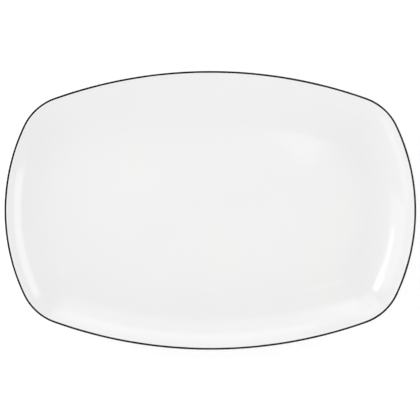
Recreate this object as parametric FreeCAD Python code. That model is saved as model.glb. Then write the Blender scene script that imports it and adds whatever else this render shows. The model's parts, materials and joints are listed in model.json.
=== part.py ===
"""A china serving platter in millimetres: +Z up, long side along X, origin on the table under its centre.

It is a coupe platter: an almost flat floor whose edge sweeps up, with no separate flange, to a thin round
lip. The plan is a soft rectangle of eight tangent arcs, four gently bowed sides and four corners, and the
platter stands on one foot ring.

The fired porcelain is a single piece. A coat of glaze covers it everywhere apart from the foot ring's
standing edge, which is wiped bare before the glaze firing. A narrow black band round the lip is fired into
the coat, and with the foot it divides the coat into three areas. All the pieces meet face to face.

A surface is a smooth loft through plan outlines. Each outline is named by its inset, which is how far it
lies inside the platter's edge in plan, and by its height, so the section of the platter is drawn as curves
of (inset, height).
"""

import FreeCAD
import Part

import math
import os

Vector = FreeCAD.Vector

# Plan of the finished platter.
LENGTH = 350.0
WIDTH = 237.0
LONG_SIDE_RADIUS = 396.0  # the bow of the two long sides
SHORT_SIDE_RADIUS = 168.0
CORNER_RADIUS = 46.0
ROUNDEST_INSET = 50.0  # the corners get tighter as far in as this

# Section of the finished platter.
HEIGHT = 28.0
FLOOR_THICKNESS = 5.0
LIP_THICKNESS = 3.2
FLOOR_INSET = 46.0  # the floor is flat inside this outline
WALL_POWER = 2.2  # 1 would be a straight slope; a higher one stays low for longer and ends steeper
GLAZE = 0.2

# Foot ring. Its height is also the depth of the recess that it encloses.
FOOT_HEIGHT = 3.2
FOOT_STANDING_WIDTH = 3.0
FOOT_DRAFT = math.radians(12.0)
FOOT_ROOT_RADIUS = 1.6
FOOT_EDGE_RADIUS = 0.7

# Where the black band starts and ends on the lip, as angles above the lip's outermost line.
BAND_TOP = math.radians(92.0)
BAND_BOTTOM = math.radians(4.0)

# How many outlines a curved surface is lofted through.
WALL_OUTLINES = 11
ARC_OUTLINES = 5

LIP_RADIUS = LIP_THICKNESS / 2
LIP_CENTRE = Vector(LIP_RADIUS, HEIGHT - LIP_RADIUS)
WALL_RUN = FLOOR_INSET - LIP_RADIUS
FLOOR_MIDDLE = FOOT_HEIGHT + FLOOR_THICKNESS / 2
WALL_RISE = LIP_CENTRE.y - FLOOR_MIDDLE
LIP_SLOPE = WALL_POWER * WALL_RISE / WALL_RUN
LIP_TO_FACE = math.pi / 2 + math.atan(LIP_SLOPE)  # where the round lip runs into the upper face
LIP_TO_UNDERSIDE = LIP_TO_FACE - math.pi

# From the centre of the foot flank's hollow arc to that of its edge arc, down and across.
FLANK_DROP = FOOT_HEIGHT + GLAZE - FOOT_ROOT_RADIUS - FOOT_EDGE_RADIUS
FLANK_REACH = (FOOT_ROOT_RADIUS + FOOT_EDGE_RADIUS + FLANK_DROP * math.sin(FOOT_DRAFT)) / math.cos(FOOT_DRAFT)

# The recess starts at the far root of the foot ring.
RECESS_INSET = FLOOR_INSET + 2 * FLANK_REACH + FOOT_STANDING_WIDTH


def steps(start, end, count):
    """count evenly spaced values from start to end."""
    return [start + (end - start) * n / (count - 1) for n in range(count)]


def arc(centre, radius, start, end, inward=-1):
    """An arc of the section. Angles go upward from the direction that inward says: 1 inward, -1 outward."""
    return [
        centre + Vector(inward * math.cos(angle), math.sin(angle)) * radius
        for angle in steps(start, end, ARC_OUTLINES)
    ]


# The section's curves. Their depth says how far they lie below the finished surface: 0 for that surface
# itself, and GLAZE for the porcelain under it.


def wall(side, depth):
    """From the lip to the flat floor, on the upper face where side is 1, and on the underside where it is -1."""
    points = []
    for turn in steps(0, math.pi, WALL_OUTLINES):
        share = (1 - math.cos(turn)) / 2  # the outlines stand closest at the two ends
        height = FLOOR_MIDDLE + WALL_RISE * (1 - share) ** WALL_POWER
        middle = Vector(LIP_RADIUS + WALL_RUN * share, height)
        tilt = math.atan(LIP_SLOPE * (1 - share) ** (WALL_POWER - 1))
        thickening = share**2 * (3 - 2 * share)
        half = LIP_RADIUS + (FLOOR_THICKNESS / 2 - LIP_RADIUS) * thickening
        points.append(middle + Vector(math.sin(tilt), math.cos(tilt)) * side * (half - depth))
    return points


def lip(start, end, depth):
    """Part of the round lip."""
    return arc(LIP_CENTRE, LIP_RADIUS - depth, start, end)


def flank(root, inward, depth):
    """One side of the foot ring, down from the underside: its hollow root, its straight and its rounded edge.

    It leaves the underside at the inset that root says, and inward is 1 if it then goes inward, or -1.
    """
    hollow_centre = Vector(root, FOOT_HEIGHT + GLAZE - FOOT_ROOT_RADIUS)
    hollow = arc(hollow_centre, FOOT_ROOT_RADIUS - GLAZE + depth, math.pi / 2, FOOT_DRAFT, inward)
    edge_centre = Vector(root + inward * FLANK_REACH, FOOT_EDGE_RADIUS)
    edge = arc(edge_centre, FOOT_EDGE_RADIUS + GLAZE - depth, -FOOT_DRAFT, -math.pi / 2, -inward)
    return hollow, [hollow[-1], edge[0]], edge


# The coat's areas. Each is a run of curves, and each curve starts where the last one ended.


def face_area(depth):
    return [lip(BAND_TOP, LIP_TO_FACE, depth), wall(1, depth)]


def band_area(depth):
    return [lip(BAND_BOTTOM, BAND_TOP, depth)]


def side_area(depth):
    hollow, straight, _ = flank(FLOOR_INSET, 1, depth)
    return [lip(BAND_BOTTOM, LIP_TO_UNDERSIDE, depth), wall(-1, depth), hollow, straight]


def recess_area(depth):
    hollow, straight, _ = flank(RECESS_INSET, -1, depth)
    return [hollow, straight]


# Plan outlines.


def corner(inset):
    """Where the first quadrant's corner arc starts, on the short side, its middle, and where it ends."""
    to_long_side = LONG_SIDE_RADIUS - inset
    to_short_side = SHORT_SIDE_RADIUS - inset
    radius = CORNER_RADIUS - inset + inset**2 / (2 * ROUNDEST_INSET)
    long_side_centre = Vector(0, WIDTH / 2 - LONG_SIDE_RADIUS)
    short_side_centre = Vector(LENGTH / 2 - SHORT_SIDE_RADIUS, 0)

    # The corner arc touches both side arcs from inside, so its centre is this far from their centres.
    from_long = to_long_side - radius
    from_short = to_short_side - radius
    apart = short_side_centre - long_side_centre
    along = (from_long**2 - from_short**2 + apart.Length**2) / (2 * apart.Length)
    across = math.sqrt(from_long**2 - along**2)
    apart.normalize()
    centre = long_side_centre + apart * along + Vector(apart.y, -apart.x) * across

    start = (centre - short_side_centre).normalize()
    end = (centre - long_side_centre).normalize()
    middle = (start + end).normalize()
    return [centre + direction * radius for direction in (start, middle, end)]


def outline(point):
    """The closed wire of eight tangent arcs at a point of the section."""
    inset, height = point.x, point.y
    half_length = LENGTH / 2 - inset
    half_width = WIDTH / 2 - inset
    side_middles = [(0, half_width), (-half_length, 0), (0, -half_width), (half_length, 0)]
    quadrants = [(1, 1), (-1, 1), (-1, -1), (1, -1)]
    through = []
    for n, (x_sign, y_sign) in enumerate(quadrants):
        arc_points = corner(inset) if n % 2 == 0 else reversed(corner(inset))
        through += [Vector(p.x * x_sign, p.y * y_sign, height) for p in arc_points]
        through.append(Vector(*side_middles[n], height))
    through.append(through[0])
    arcs = [Part.Arc(*through[n : n + 3]) for n in range(0, len(through) - 1, 2)]
    return Part.Wire([each.toShape() for each in arcs])


# Solids.


def skin(curve):
    """The faces of the surface that a curve of the section makes, going round the platter."""
    is_straight = len(curve) == 2
    return Part.makeLoft([outline(point) for point in curve], False, is_straight).Faces


def flat(point):
    """The flat face that fills the outline at a point of the section."""
    return Part.Face(outline(point))


def solid(faces):
    made = Part.Solid(Part.Shell(faces))
    if made.Volume < 0:
        made.reverse()
    return made


def coat(area, flat_end=None):
    """The glaze over an area. Its flat end, 0 for the start or -1, is filled, and another ends at a step."""
    finished, buried = area(0), area(GLAZE)
    faces = [face for curve in finished + buried for face in skin(curve)]
    for end in (0, -1):
        pair = [finished[end][end], buried[end][end]]
        faces += [flat(point) for point in pair] if end == flat_end else skin(pair)
    return solid(faces)


def porcelain():
    """The fired body: all that lies under the coat, with the foot ring's bare edge."""
    outer_edge = flank(FLOOR_INSET, 1, GLAZE)[-1]
    inner_edge = flank(RECESS_INSET, -1, GLAZE)[-1]
    curves = [outer_edge, inner_edge]
    for area in (face_area, band_area, side_area, recess_area):
        curves += area(GLAZE)
    faces = [face for curve in curves for face in skin(curve)]
    faces.append(flat(face_area(GLAZE)[-1][-1]))
    faces.append(flat(recess_area(GLAZE)[0][0]))
    faces.append(Part.Face([outline(outer_edge[-1]), outline(inner_edge[-1]).reversed()]))
    return solid(faces)


def main():
    pieces = {
        "porcelain_body": porcelain(),
        "glaze_upper_face": coat(face_area, flat_end=-1),
        "glaze_outer_side": coat(side_area),
        "glaze_foot_recess": coat(recess_area, flat_end=0),
        "black_rim_band": coat(band_area),
    }
    os.makedirs("parts", exist_ok=True)
    for name, piece in pieces.items():
        print(f"{name}: {piece.Volume / 1000:.2f} cm3")
        if not (piece.isValid() and piece.isClosed()):
            raise SystemExit(f"{name} is not a closed, valid solid")
        piece.exportStep(f"parts/{name}.step")


main()
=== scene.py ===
"""How the china serving platter looks: its pieces as fine meshes, their materials, a table and the light.

Everything is in metres, in the platter's own frame: +Z up, the long side along X and the table at z = 0.
A piece is a closed mesh of rings that go round the platter. A ring follows the outline of the plan at an
inset, which is how far it lies inside the platter's edge, at a height, so the section of the platter is drawn
as curves of (inset, height).
"""

import json
import math

import bmesh
import bpy
import numpy as np
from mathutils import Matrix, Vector


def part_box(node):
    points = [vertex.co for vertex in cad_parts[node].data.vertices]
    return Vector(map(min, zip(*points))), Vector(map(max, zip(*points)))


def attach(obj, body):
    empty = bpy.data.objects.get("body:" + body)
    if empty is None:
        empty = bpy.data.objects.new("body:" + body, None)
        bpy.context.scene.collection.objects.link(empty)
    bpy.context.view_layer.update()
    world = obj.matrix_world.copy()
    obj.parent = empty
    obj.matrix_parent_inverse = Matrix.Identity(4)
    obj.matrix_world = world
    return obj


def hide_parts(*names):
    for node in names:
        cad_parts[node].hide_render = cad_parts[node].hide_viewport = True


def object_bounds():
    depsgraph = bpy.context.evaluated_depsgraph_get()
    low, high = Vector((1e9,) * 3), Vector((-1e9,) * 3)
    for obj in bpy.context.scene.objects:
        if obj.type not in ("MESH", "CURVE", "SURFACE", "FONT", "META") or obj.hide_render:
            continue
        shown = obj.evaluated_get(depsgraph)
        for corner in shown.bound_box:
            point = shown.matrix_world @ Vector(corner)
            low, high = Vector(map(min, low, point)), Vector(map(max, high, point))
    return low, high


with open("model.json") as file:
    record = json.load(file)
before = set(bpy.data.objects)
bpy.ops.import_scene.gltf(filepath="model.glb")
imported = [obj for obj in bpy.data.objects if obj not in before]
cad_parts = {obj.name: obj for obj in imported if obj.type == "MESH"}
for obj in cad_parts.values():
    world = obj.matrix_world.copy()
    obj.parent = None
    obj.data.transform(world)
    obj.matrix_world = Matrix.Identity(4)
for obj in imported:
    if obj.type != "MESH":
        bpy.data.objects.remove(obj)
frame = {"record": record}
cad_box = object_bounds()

MM = 0.001

# What the frame gives.
MOUNTS = {mount["name"]: mount for mount in frame["record"]["mounts"]}
HALF_LENGTH, HALF_WIDTH, HEIGHT = cad_box[1]  # the origin is under the platter's middle
FLOOR_TOP = MOUNTS["serving_floor"]["pos_m"][2]
GLAZE = FLOOR_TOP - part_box("glaze_upper_face")[0].z
FOOT_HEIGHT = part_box("glaze_foot_recess")[1].z - GLAZE

# Plan.
LONG_SIDE_RADIUS = 396 * MM
SHORT_SIDE_RADIUS = 168 * MM
CORNER_RADIUS = 46 * MM
ROUNDEST_INSET = 50 * MM  # the corners get tighter as far in as this

# Section.
FLOOR_INSET = 46 * MM
WALL_POWER = 2.2
LIP_RADIUS = 1.6 * MM
FOOT_STANDING_WIDTH = 3 * MM
FOOT_DRAFT = math.radians(12)
FOOT_ROOT_RADIUS = 1.6 * MM
FOOT_EDGE_RADIUS = 0.7 * MM
FLOOR_SAG = 0.3 * MM  # how far the firing has let the middle of the floor down
SAG_INSET = 60 * MM  # how far in from the middle of a side the sag starts

# Where the black line starts and ends on the lip, as angles above the lip's outermost line.
BAND_TOP = math.radians(92)
BAND_BOTTOM = math.radians(4)

# What the hand leaves: how far the edges of the black line and of the glaze at the foot wander.
BAND_WANDER = math.radians(3.5)
FOOT_LINE_WANDER = 0.18 * MM
FOOT_LINE_LIFT = 1.5 * FOOT_LINE_WANDER  # how far up the flank the glaze's edge lies on average

# How fine the meshes are: rings along a curve of the section, and edges along an arc of a quarter plan.
WALL_RINGS = 44
LIP_RINGS = 9
FOOT_RINGS = 8
INNER_RINGS = 6
SHORT_SIDE_EDGES = 26
CORNER_EDGES = 20
LONG_SIDE_EDGES = 44
SHARP_ANGLE = math.radians(50)  # the shading breaks at an edge that turns by more than this

LIP_CENTRE = (LIP_RADIUS, HEIGHT - LIP_RADIUS)
WALL_RUN = FLOOR_INSET - LIP_RADIUS
FLOOR_HALF_THICKNESS = (FLOOR_TOP - FOOT_HEIGHT) / 2
FLOOR_MIDDLE = FOOT_HEIGHT + FLOOR_HALF_THICKNESS
WALL_RISE = LIP_CENTRE[1] - FLOOR_MIDDLE
LIP_SLOPE = WALL_POWER * WALL_RISE / WALL_RUN
LIP_TO_FACE = math.pi / 2 + math.atan(LIP_SLOPE)  # where the round lip runs into the upper face
LIP_TO_UNDERSIDE = LIP_TO_FACE - math.pi

# From the centre of the foot flank's hollow arc to that of its edge arc, down and across.
FLANK_DROP = FOOT_HEIGHT + GLAZE - FOOT_ROOT_RADIUS - FOOT_EDGE_RADIUS
FLANK_REACH = (FOOT_ROOT_RADIUS + FOOT_EDGE_RADIUS + FLANK_DROP * math.sin(FOOT_DRAFT)) / math.cos(FOOT_DRAFT)

RECESS_INSET = FLOOR_INSET + 2 * FLANK_REACH + FOOT_STANDING_WIDTH
INNERMOST_INSET = 62 * MM  # the rings stop here, and a grid fills the rest


# Going round the platter.

SHORT_SIDE, CORNER, LONG_SIDE = range(3)


def quarter():
    """For each point of a quarter of the plan, from the short side's middle: its arc, and the share of it."""
    edges = ((SHORT_SIDE, SHORT_SIDE_EDGES), (CORNER, CORNER_EDGES), (LONG_SIDE, LONG_SIDE_EDGES))
    points = [(arc, n / count) for arc, count in edges for n in range(count)]
    return points + [(LONG_SIDE, 1)]


def all_round():
    """For each point round the plan: its arc, the share of it, and the signs of its x and y.

    The first is the middle of the corner where both are positive, and the next ones go towards +Y.
    """
    there = quarter()
    back = there[::-1]
    points = [(*point, 1, 1) for point in there[:-1]]
    points += [(*point, -1, 1) for point in back[:-1]]
    points += [(*point, -1, -1) for point in there[:-1]]
    points += [(*point, 1, -1) for point in back[:-1]]
    start = SHORT_SIDE_EDGES + CORNER_EDGES // 2
    return np.array(points[start:] + points[:start]).T


ARC, ARC_SHARE, X_SIGN, Y_SIGN = all_round()


def plan(inset):
    """x and y of the outline's points at an inset, which may also differ from point to point."""
    long_radius = LONG_SIDE_RADIUS - inset
    short_radius = SHORT_SIDE_RADIUS - inset
    corner_radius = CORNER_RADIUS - inset + inset**2 / (2 * ROUNDEST_INSET)
    long_centre_y = HALF_WIDTH - LONG_SIDE_RADIUS
    short_centre_x = HALF_LENGTH - SHORT_SIDE_RADIUS

    # The corner arc touches both side arcs from inside, so its centre is this far from their centres.
    from_long = long_radius - corner_radius
    from_short = short_radius - corner_radius
    apart = math.hypot(short_centre_x, long_centre_y)
    along = (from_long**2 - from_short**2 + apart**2) / (2 * apart)
    across = np.sqrt(from_long**2 - along**2)
    towards_x, towards_y = short_centre_x / apart, -long_centre_y / apart
    corner_x = along * towards_x + across * towards_y
    corner_y = long_centre_y + along * towards_y - across * towards_x

    corner_start = np.arctan2(corner_y, corner_x - short_centre_x)
    corner_end = np.arctan2(corner_y - long_centre_y, corner_x)
    starts = (0 * inset, corner_start, corner_end)
    ends = (corner_start, corner_end, math.pi / 2 + 0 * inset)
    centres_x = (short_centre_x, corner_x, 0)
    centres_y = (0, corner_y, long_centre_y)
    radii = (short_radius, corner_radius, long_radius)
    on_arc = [ARC == arc for arc in (SHORT_SIDE, CORNER, LONG_SIDE)]

    def of_arc(values):
        return np.select(on_arc, [np.broadcast_to(value, (inset + ARC).shape) for value in values])

    angle = of_arc(starts) + (of_arc(ends) - of_arc(starts)) * ARC_SHARE
    x = X_SIGN * (of_arc(centres_x) + of_arc(radii) * np.cos(angle))
    y = Y_SIGN * (of_arc(centres_y) + of_arc(radii) * np.sin(angle))
    return x, y


def sagged(x, y, z):
    """The heights once the floor has sagged, which it does only well inside the foot ring."""
    share = np.clip(1 - (x / (HALF_LENGTH - SAG_INSET)) ** 2 - (y / (HALF_WIDTH - SAG_INSET)) ** 2, 0, 1)
    return z - FLOOR_SAG * share**2


def rings(curve):
    """The points of the rings along a curve of the section, as an array of rings by points by x, y and z."""
    inset, height = (np.asarray(values, float) for values in curve)
    if inset.ndim == 1:
        inset, height = inset[:, None], height[:, None]
    x, y = plan(inset)
    z = np.broadcast_to(height, x.shape)
    return np.stack([x, y, z], axis=-1)


AROUND = np.arctan2(*reversed(plan(np.zeros(1))))  # the direction of each point from the platter's middle


def wander(size, *waves):
    """An uneven value for each point round the platter, within size of 0. waves are how many go round it."""
    return size * sum(np.sin(count * AROUND + count * count) for count in waves) / len(waves)


BAND_UPPER_EDGE = BAND_TOP + wander(BAND_WANDER, 4, 9, 21, 43)
BAND_LOWER_EDGE = BAND_BOTTOM + wander(BAND_WANDER, 3, 8, 26, 37)


# Curves of the section. A depth is how far a curve lies below the finished surface.


def arc(centre, radius, start, end, count, inward=-1):
    """An arc. Angles go upward from the direction that inward says: 1 inward, -1 outward."""
    angle = np.linspace(start, end, count)
    return centre[0] + inward * radius * np.cos(angle), centre[1] + radius * np.sin(angle)


def lip(start, end, depth):
    return arc(LIP_CENTRE, LIP_RADIUS - depth, start, end, LIP_RINGS)


def wall(side, depth):
    """From the lip to the flat floor, on the upper face where side is 1, or the underside where it is -1."""
    share = (1 - np.cos(np.linspace(0, math.pi, WALL_RINGS))) / 2
    tilt = np.arctan(LIP_SLOPE * (1 - share) ** (WALL_POWER - 1))
    thickening = share**2 * (3 - 2 * share)
    away = side * (LIP_RADIUS + (FLOOR_HALF_THICKNESS - LIP_RADIUS) * thickening - depth)
    inset = LIP_RADIUS + WALL_RUN * share + away * np.sin(tilt)
    height = FLOOR_MIDDLE + WALL_RISE * (1 - share) ** WALL_POWER + away * np.cos(tilt)
    return inset, height


def floor(start, height, depth):
    """Level, from an inset inward to where the grid starts."""
    return np.linspace(start, INNERMOST_INSET, INNER_RINGS), np.full(INNER_RINGS, height - depth)


def hollow(root, inward, depth):
    """The foot ring's root, down from the underside. inward is 1 where it goes inward from there, or -1."""
    centre = (root, FOOT_HEIGHT + GLAZE - FOOT_ROOT_RADIUS)
    return arc(centre, FOOT_ROOT_RADIUS - GLAZE + depth, math.pi / 2, FOOT_DRAFT, FOOT_RINGS, inward)


def edge(root, inward, depth):
    """The foot ring's rounded edge, down to where it stands."""
    centre = (root + inward * FLANK_REACH, FOOT_EDGE_RADIUS)
    return arc(centre, FOOT_EDGE_RADIUS + GLAZE - depth, -FOOT_DRAFT, -math.pi / 2, FOOT_RINGS, -inward)


def glazed_flank(root, inward, is_finished):
    """The foot ring's straight flank as far down as the glaze, which ends in a wandering, rounded edge."""
    start = np.array(hollow(root, inward, GLAZE))[:, -1]
    end = np.array(edge(root, inward, GLAZE))[:, 0]
    length = np.linalg.norm(end - start)
    down = (end - start) / length
    out = np.array([down[1], -down[0]]) * inward
    last = length - FOOT_LINE_LIFT + wander(FOOT_LINE_WANDER, 5, 11, 23, 47)
    turn = np.linspace(0, math.pi / 2, FOOT_RINGS)[:, None]
    along = last - GLAZE * (1 - np.sin(turn))
    thickness = GLAZE * np.cos(turn) if is_finished else 0 * turn
    along = np.concatenate([0 * along[:1], along])
    thickness = np.concatenate([thickness[:1], thickness])
    return tuple(start[k] + down[k] * along + out[k] * thickness for k in (0, 1))


# Meshes.


def run(*curves):
    """The rings along curves that follow one another."""
    rows = [rings(curve) for curve in curves]
    return np.concatenate([rows[0]] + [row[1:] for row in rows[1:]])


def quads_between(ring_a, ring_b):
    return np.stack([ring_a, np.roll(ring_a, -1), np.roll(ring_b, -1), ring_b], axis=1).tolist()


def grid_in(ring, first_new):
    """Quads that fill a ring, given as its points' numbers and places: the new points, and the faces."""
    numbers, places = ring
    long_count = 2 * LONG_SIDE_EDGES + CORNER_EDGES
    short_count = 2 * SHORT_SIDE_EDGES + CORNER_EDGES
    rim = [(n, 0) for n in range(long_count)]
    rim += [(long_count, n) for n in range(short_count)]
    rim += [(n, short_count) for n in range(long_count, 0, -1)]
    rim += [(0, n) for n in range(short_count, 0, -1)]
    at = np.zeros((long_count + 1, short_count + 1, 3))
    number = np.zeros((long_count + 1, short_count + 1), int)
    for (i, j), n, place in zip(rim, numbers, places):
        at[i, j], number[i, j] = place, n

    # A Coons patch: a point's place comes from the four sides of the rim.
    u = np.linspace(0, 1, long_count + 1)[:, None, None]
    v = np.linspace(0, 1, short_count + 1)[None, :, None]
    between_long_sides = (1 - v) * at[:, :1] + v * at[:, -1:]
    between_short_sides = (1 - u) * at[:1] + u * at[-1:]
    first_corners = (1 - v) * at[0, 0] + v * at[0, -1]
    last_corners = (1 - v) * at[-1, 0] + v * at[-1, -1]
    between_corners = (1 - u) * first_corners + u * last_corners
    inside = (slice(1, -1), slice(1, -1))
    at[inside] = (between_long_sides + between_short_sides - between_corners)[inside]
    new = at[inside].reshape(-1, 3)
    number[inside] = first_new + np.arange(len(new)).reshape(number[inside].shape)
    corners = [number[:-1, :-1], number[1:, :-1], number[1:, 1:], number[:-1, 1:]]
    return new, np.stack([each.ravel() for each in corners], axis=1).tolist()


def piece(name, rows, is_filled, material):
    """A closed mesh over rings. Its first and last rings each get a grid where it is filled, or else join."""
    count, around, _ = rows.shape
    numbers = np.arange(count * around).reshape(count, around)
    points = [rows.reshape(-1, 3)]
    faces = []
    for ring_a, ring_b in zip(numbers, numbers[1:]):
        faces += quads_between(ring_a, ring_b)
    if is_filled:
        for n in (0, -1):
            new, new_faces = grid_in((numbers[n], rows[n]), sum(map(len, points)))
            points.append(new)
            faces += new_faces
    else:
        faces += quads_between(numbers[-1], numbers[0])
    points = np.concatenate(points)
    points[:, 2] = sagged(*points.T)

    mesh = bpy.data.meshes.new(name)
    mesh.from_pydata(points.tolist(), [], faces)
    shape = bmesh.new()
    shape.from_mesh(mesh)
    bmesh.ops.recalc_face_normals(shape, faces=shape.faces)
    shape.to_mesh(mesh)
    shape.free()
    mesh.shade_smooth()
    mesh.set_sharp_from_angle(angle=SHARP_ANGLE)
    mesh.materials.append(material)
    made = bpy.data.objects.new(name, mesh)
    bpy.context.scene.collection.objects.link(made)
    return made


def face_area(depth):
    """From the middle of the floor out to the black line."""
    curves = (lip(BAND_UPPER_EDGE, LIP_TO_FACE, depth), wall(1, depth), floor(FLOOR_INSET, FLOOR_TOP, depth))
    return run(*curves)[::-1]


def band_area(depth):
    """From the black line's upper edge to its lower edge."""
    return run(lip(BAND_UPPER_EDGE, BAND_LOWER_EDGE, depth))


def side_area(depth):
    """From the black line's lower edge to the foot ring's outer flank."""
    curves = (lip(BAND_LOWER_EDGE, LIP_TO_UNDERSIDE, depth), wall(-1, depth), hollow(FLOOR_INSET, 1, depth))
    return run(*curves, glazed_flank(FLOOR_INSET, 1, depth == 0))


def recess_area(depth):
    """From the foot ring's inner flank to the middle of the recess."""
    flank = glazed_flank(RECESS_INSET, -1, depth == 0)
    ceiling = floor(RECESS_INSET, FOOT_HEIGHT, -depth)
    return np.concatenate([run(hollow(RECESS_INSET, -1, depth), flank)[::-1], rings(ceiling)[1:]])


def body_rings():
    """Down from the middle of the floor, over the lip and the foot ring, to the middle of the recess."""
    side = run(lip(BAND_BOTTOM, LIP_TO_UNDERSIDE, GLAZE), wall(-1, GLAZE), hollow(FLOOR_INSET, 1, GLAZE))
    outer_edge = rings(edge(FLOOR_INSET, 1, GLAZE))
    inner_edge = rings(edge(RECESS_INSET, -1, GLAZE))[::-1]
    inner_root = rings(hollow(RECESS_INSET, -1, GLAZE))[::-1]
    ceiling = rings(floor(RECESS_INSET, FOOT_HEIGHT, -GLAZE))
    parts = [face_area(GLAZE), band_area(GLAZE)[1:], side[1:]]
    parts += [outer_edge, inner_edge, inner_root, ceiling[1:]]
    return np.concatenate(parts)


# Colours. GLAZE_POOLED, GLAZE_EVEN and GLAZE_THIN are what the glaze's own colour is multiplied by, going up
# from the foot to the lip.

GLAZE_COOL = (0.845, 0.845, 0.85)
GLAZE_WARM = (0.855, 0.855, 0.85)
GLAZE_POOLED = (0.97, 0.99, 0.998)
GLAZE_EVEN = (1, 1, 1)
GLAZE_THIN = (1, 0.995, 0.985)
LINE_THIN = (0.016, 0.012, 0.01)
LINE_DENSE = (0.002, 0.002, 0.003)
BARE_LIGHT = (0.76, 0.745, 0.71)
BARE_DARK = (0.68, 0.665, 0.63)
BARE_SCUFF = (0.42, 0.42, 0.42)
TABLE_LIGHT = (0.98, 0.98, 0.98)
TABLE_SHADE = (0.97, 0.97, 0.97)
TABLE_GLOW = 0.1


# Materials.

GLAZE_IOR = 1.5  # the black line has it too

# The sockets of a Mix node that mixes colours, which share their names with its other sockets.
MIX_SHARE, MIX_FIRST, MIX_SECOND, MIX_RESULT = 0, 6, 7, 2


class Nodes:
    """A material's node tree with its Principled shader, and short ways to add to it."""

    def __init__(self, name):
        self.material = bpy.data.materials.new(name)
        self.material.use_nodes = True
        self.tree = self.material.node_tree
        self.shader = self.tree.nodes["Principled BSDF"]

    def add(self, kind, **settings):
        node = self.tree.nodes.new(kind)
        for name, value in settings.items():
            setattr(node, name, value)
        return node

    def link(self, source, target):
        self.tree.links.new(source, target)

    def place(self):
        """Where a point is, in metres in the platter's frame."""
        return self.add("ShaderNodeTexCoord").outputs["Object"]

    def height(self):
        """How high a point is, from 0 on the table to 1 at the top of the lip."""
        apart = self.add("ShaderNodeSeparateXYZ")
        self.link(self.place(), apart.inputs["Vector"])
        share = self.add("ShaderNodeMapRange")
        share.inputs["From Max"].default_value = HEIGHT
        self.link(apart.outputs["Z"], share.inputs["Value"])
        return share.outputs["Result"]

    def noise(self, scale, detail=2.0, stretch=None):
        """Noise with about scale cells to a metre."""
        node = self.add("ShaderNodeTexNoise")
        node.inputs["Scale"].default_value = scale
        node.inputs["Detail"].default_value = detail
        place = self.place()
        if stretch:
            mapping = self.add("ShaderNodeMapping")
            mapping.inputs["Scale"].default_value = stretch
            self.link(place, mapping.inputs["Vector"])
            place = mapping.outputs["Vector"]
        self.link(place, node.inputs["Vector"])
        return node.outputs["Fac"]

    def ramp(self, value, *stops):
        """A colour for each value. A stop is (value, colour), and a grey colour may be one number."""
        node = self.add("ShaderNodeValToRGB")
        elements = node.color_ramp.elements
        for position, _ in stops[1:-1]:
            elements.new(position)
        for element, (position, colour) in zip(elements, stops):
            element.position = position
            element.color = (*colour, 1) if isinstance(colour, tuple) else (colour, colour, colour, 1)
        self.link(value, node.inputs["Fac"])
        return node.outputs["Color"]

    def mix(self, share, first, second):
        """The first colour where share is 0, going over to the second where it is 1."""
        node = self.add("ShaderNodeMix", data_type="RGBA")
        self.link(share, node.inputs[MIX_SHARE])
        self.link(first, node.inputs[MIX_FIRST])
        self.link(second, node.inputs[MIX_SECOND])
        return node.outputs[MIX_RESULT]

    def times(self, first, second):
        """One colour multiplied by another."""
        node = self.add("ShaderNodeMix", data_type="RGBA", blend_type="MULTIPLY")
        node.inputs[MIX_SHARE].default_value = 1
        self.link(first, node.inputs[MIX_FIRST])
        self.link(second, node.inputs[MIX_SECOND])
        return node.outputs[MIX_RESULT]

    def bump(self, height, distance, below=None):
        """A normal that height changes, where a height of 1 stands distance above one of 0."""
        node = self.add("ShaderNodeBump")
        node.inputs["Distance"].default_value = distance
        self.link(height, node.inputs["Height"])
        if below:
            self.link(below, node.inputs["Normal"])
        return node.outputs["Normal"]

    def shade(self, **values):
        """Gives the shader's sockets a number, a colour or a node's output. A _ is a space in their names."""
        for name, value in values.items():
            socket = self.shader.inputs[name.replace("_", " ")]
            if isinstance(value, bpy.types.NodeSocket):
                self.link(value, socket)
            else:
                socket.default_value = value


def white_glaze():
    """Clear glaze over white porcelain: a clean gloss with a faint ripple.

    It has pooled a little round the foot, where it is cooler, and thinned out over the lip, where it is a
    trace warmer.
    """
    nodes = Nodes("white_glaze")
    cloud = nodes.ramp(nodes.noise(14, detail=3), (0.35, GLAZE_COOL), (0.65, GLAZE_WARM))
    stops = ((0.04, GLAZE_POOLED), (0.17, GLAZE_EVEN), (0.93, GLAZE_EVEN), (1.0, GLAZE_THIN))
    colour = nodes.times(cloud, nodes.ramp(nodes.height(), *stops))
    roughness = nodes.ramp(nodes.noise(70), (0.3, 0.15), (0.7, 0.24))
    ripple = nodes.bump(nodes.noise(45), 0.05 * MM)
    normal = nodes.bump(nodes.noise(420, detail=1), 0.0015 * MM, below=ripple)
    nodes.shade(Base_Color=colour, Roughness=roughness, Normal=normal, IOR=GLAZE_IOR)
    nodes.shade(Coat_Weight=1.0, Coat_IOR=GLAZE_IOR, Coat_Roughness=0.06, Coat_Normal=normal)
    return nodes.material


def black_line():
    """Black colour fired into the glaze, a little thinner and browner in places."""
    nodes = Nodes("black_line")
    colour = nodes.ramp(nodes.noise(300, detail=4), (0.3, LINE_THIN), (0.6, LINE_DENSE))
    roughness = nodes.ramp(nodes.noise(500), (0.3, 0.3), (0.7, 0.45))
    normal = nodes.bump(nodes.noise(900), 0.002 * MM)
    nodes.shade(Base_Color=colour, Roughness=roughness, Normal=normal)
    nodes.shade(IOR=GLAZE_IOR, Specular_IOR_Level=0.15)
    return nodes.material


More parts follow.
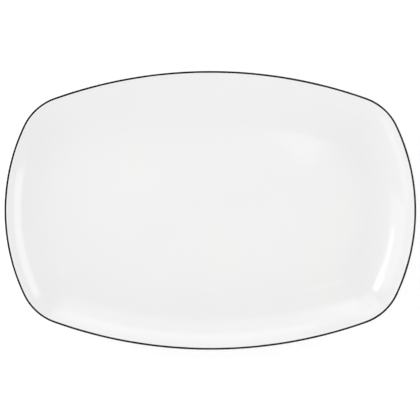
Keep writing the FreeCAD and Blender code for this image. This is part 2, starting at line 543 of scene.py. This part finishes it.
def bare_porcelain():
    """Unglazed porcelain: matte, finely grained and a little worn where it stands."""
    nodes = Nodes("bare_porcelain")
    grain = nodes.ramp(nodes.noise(2600, detail=4), (0.35, BARE_DARK), (0.6, BARE_LIGHT))
    worn = nodes.ramp(nodes.noise(90, detail=5, stretch=(1, 3, 1)), (0.55, 0.0), (0.75, 0.6))
    scuff = nodes.ramp(nodes.noise(900), (0.0, BARE_SCUFF), (1.0, BARE_LIGHT))
    roughness = nodes.ramp(nodes.noise(1500), (0.3, 0.62), (0.7, 0.82))
    normal = nodes.bump(nodes.noise(3200, detail=3), 0.02 * MM)
    nodes.shade(Base_Color=nodes.mix(worn, grain, scuff), Roughness=roughness, Normal=normal)
    return nodes.material


def table_top():
    """Plain, pale and matte. It glows a little, so that the shadows on it stay faint."""
    nodes = Nodes("table_top")
    colour = nodes.ramp(nodes.noise(3), (0.3, TABLE_SHADE), (0.7, TABLE_LIGHT))
    nodes.shade(Base_Color=colour, Roughness=0.9, Specular_IOR_Level=0.1)
    nodes.shade(Emission_Color=(1, 1, 1, 1), Emission_Strength=TABLE_GLOW)
    return nodes.material


# The pieces. The rings of a glaze go along its finished surface and back along the porcelain under it. At the
# foot these two surfaces end in the same ring, which is taken once.

glaze = white_glaze()
line = black_line()
upper = np.concatenate([face_area(0), face_area(GLAZE)[::-1]])
outer = np.concatenate([side_area(0), side_area(GLAZE)[-2::-1]])
recess = np.concatenate([recess_area(0)[::-1], recess_area(GLAZE)[1:]])
band = np.concatenate([band_area(0), band_area(GLAZE)[::-1]])

PIECES = (
    # name, rings, whether it is filled, material, the node it stands for, that node's slot
    ("porcelain", body_rings(), True, bare_porcelain(), "porcelain_body", "porcelain"),
    ("upper_glaze", upper, True, glaze, "glaze_upper_face", "white_glaze"),
    ("outer_glaze", outer, False, glaze, "glaze_outer_side", "white_glaze"),
    ("recess_glaze", recess, True, glaze, "glaze_foot_recess", "white_glaze"),
    ("rim_line", band, False, line, "black_rim_band", "black_line"),
)
for name, rows, is_filled, material, node, slot in PIECES:
    made = piece(name, rows, is_filled, material)
    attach(made, "root")
    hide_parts(node)

# The table top, the camera and the light.

TABLE_RADIUS = 12.0
TABLE_RIM = 0.5  # how far the edge turns up, so that a low view doesn't look past the table
TABLE_EDGES = 64


def table():
    """A wide round table top whose edge turns up."""
    shape = bmesh.new()
    bmesh.ops.create_circle(shape, cap_ends=True, segments=TABLE_EDGES, radius=TABLE_RADIUS)
    raised = bmesh.ops.extrude_edge_only(shape, edges=shape.edges[:])["geom"]
    corners = [each for each in raised if isinstance(each, bmesh.types.BMVert)]
    bmesh.ops.translate(shape, verts=corners, vec=(0, 0, TABLE_RIM))
    mesh = bpy.data.meshes.new("table")
    shape.to_mesh(mesh)
    shape.free()
    mesh.materials.append(table_top())
    made = bpy.data.objects.new("table", mesh)
    bpy.context.scene.collection.objects.link(made)
    return made


table()

CAMERA_HEIGHT = 4.0
VIEW_WIDTH = 356.8 * MM  # how much the picture spans at the height of the lip
CAMERA_PLACE = (-0.3 * MM, 0.3 * MM, CAMERA_HEIGHT)  # looking straight down, almost over the middle

lens = bpy.data.cameras.new("camera")
lens.lens = lens.sensor_width * (CAMERA_HEIGHT - HEIGHT) / VIEW_WIDTH
camera = bpy.data.objects.new("camera", lens)
camera.location = CAMERA_PLACE
bpy.context.scene.collection.objects.link(camera)
bpy.context.scene.camera = camera

# Angles are in degrees, and azimuth goes from +X towards +Y. Sizes, and distances from the platter's middle,
# are in metres. The radiance is how much brighter the light is than what is behind it.
SOFTBOXES = (
    # name, azimuth, elevation, distance, width, height, radiance
    ("left_softbox", 168, 29.5, 1.53, 0.75, 0.85, 0.55),
    ("left_strip", 158, 37, 1.6, 0.7, 0.16, 2.4),
    ("left_strip_end", 151, 36.5, 1.6, 0.35, 0.34, 2.4),
    ("low_left_softbox", -155, 13, 1.5, 1.2, 0.25, 0.5),
    ("right_softbox", 12, 19, 1.42, 1.26, 0.32, 1.2),
    ("back_softbox", 84, 13, 1.38, 0.75, 0.5, 0.55),
    ("back_tall_softbox", 90, 30, 1.6, 0.8, 1.1, 0.45),
    ("back_left_softbox", 118, 24, 1.6, 0.8, 1.05, 0.65),
    ("overhead_softbox", 43, 84, 1.29, 0.08, 0.05, 0.9),
)

# How bright the room is on the whole, and how much that changes towards the back and towards the ceiling.
ROOM = 1.045
ROOM_TO_BACK = -0.19
ROOM_TO_CEILING = -0.2


def softbox(name, azimuth, elevation, distance, width, height, radiance):
    """A soft light that faces the platter, and that the camera doesn't see."""
    light = bpy.data.lights.new(name, "AREA")
    light.shape = "RECTANGLE"
    light.size, light.size_y = width, height
    light.energy = radiance * math.pi * width * height
    made = bpy.data.objects.new(name, light)
    turn, rise = math.radians(azimuth), math.radians(elevation)
    away = Vector((math.cos(turn) * math.cos(rise), math.sin(turn) * math.cos(rise), math.sin(rise)))
    made.location = away * distance
    made.rotation_euler = away.to_track_quat("Z", "Y").to_euler()
    made.visible_camera = False
    bpy.context.scene.collection.objects.link(made)


def room():
    """A world whose brightness is ROOM, plus the change for the direction looked in."""
    world = bpy.data.worlds.new("room")
    world.use_nodes = True
    nodes, links = world.node_tree.nodes, world.node_tree.links
    change = nodes.new("ShaderNodeVectorMath")
    change.operation = "DOT_PRODUCT"
    change.inputs[1].default_value = (0, ROOM_TO_BACK, ROOM_TO_CEILING)
    links.new(nodes.new("ShaderNodeTexCoord").outputs["Generated"], change.inputs[0])
    brightness = nodes.new("ShaderNodeMath")
    brightness.inputs[1].default_value = ROOM
    links.new(change.outputs["Value"], brightness.inputs[0])
    links.new(brightness.outputs["Value"], nodes["Background"].inputs["Strength"])
    nodes["Background"].inputs["Color"].default_value = (1, 1, 1, 1)
    return world


for row in SOFTBOXES:
    softbox(*row)
bpy.context.scene.world = room()
bpy.context.scene.view_settings.view_transform = "Standard"
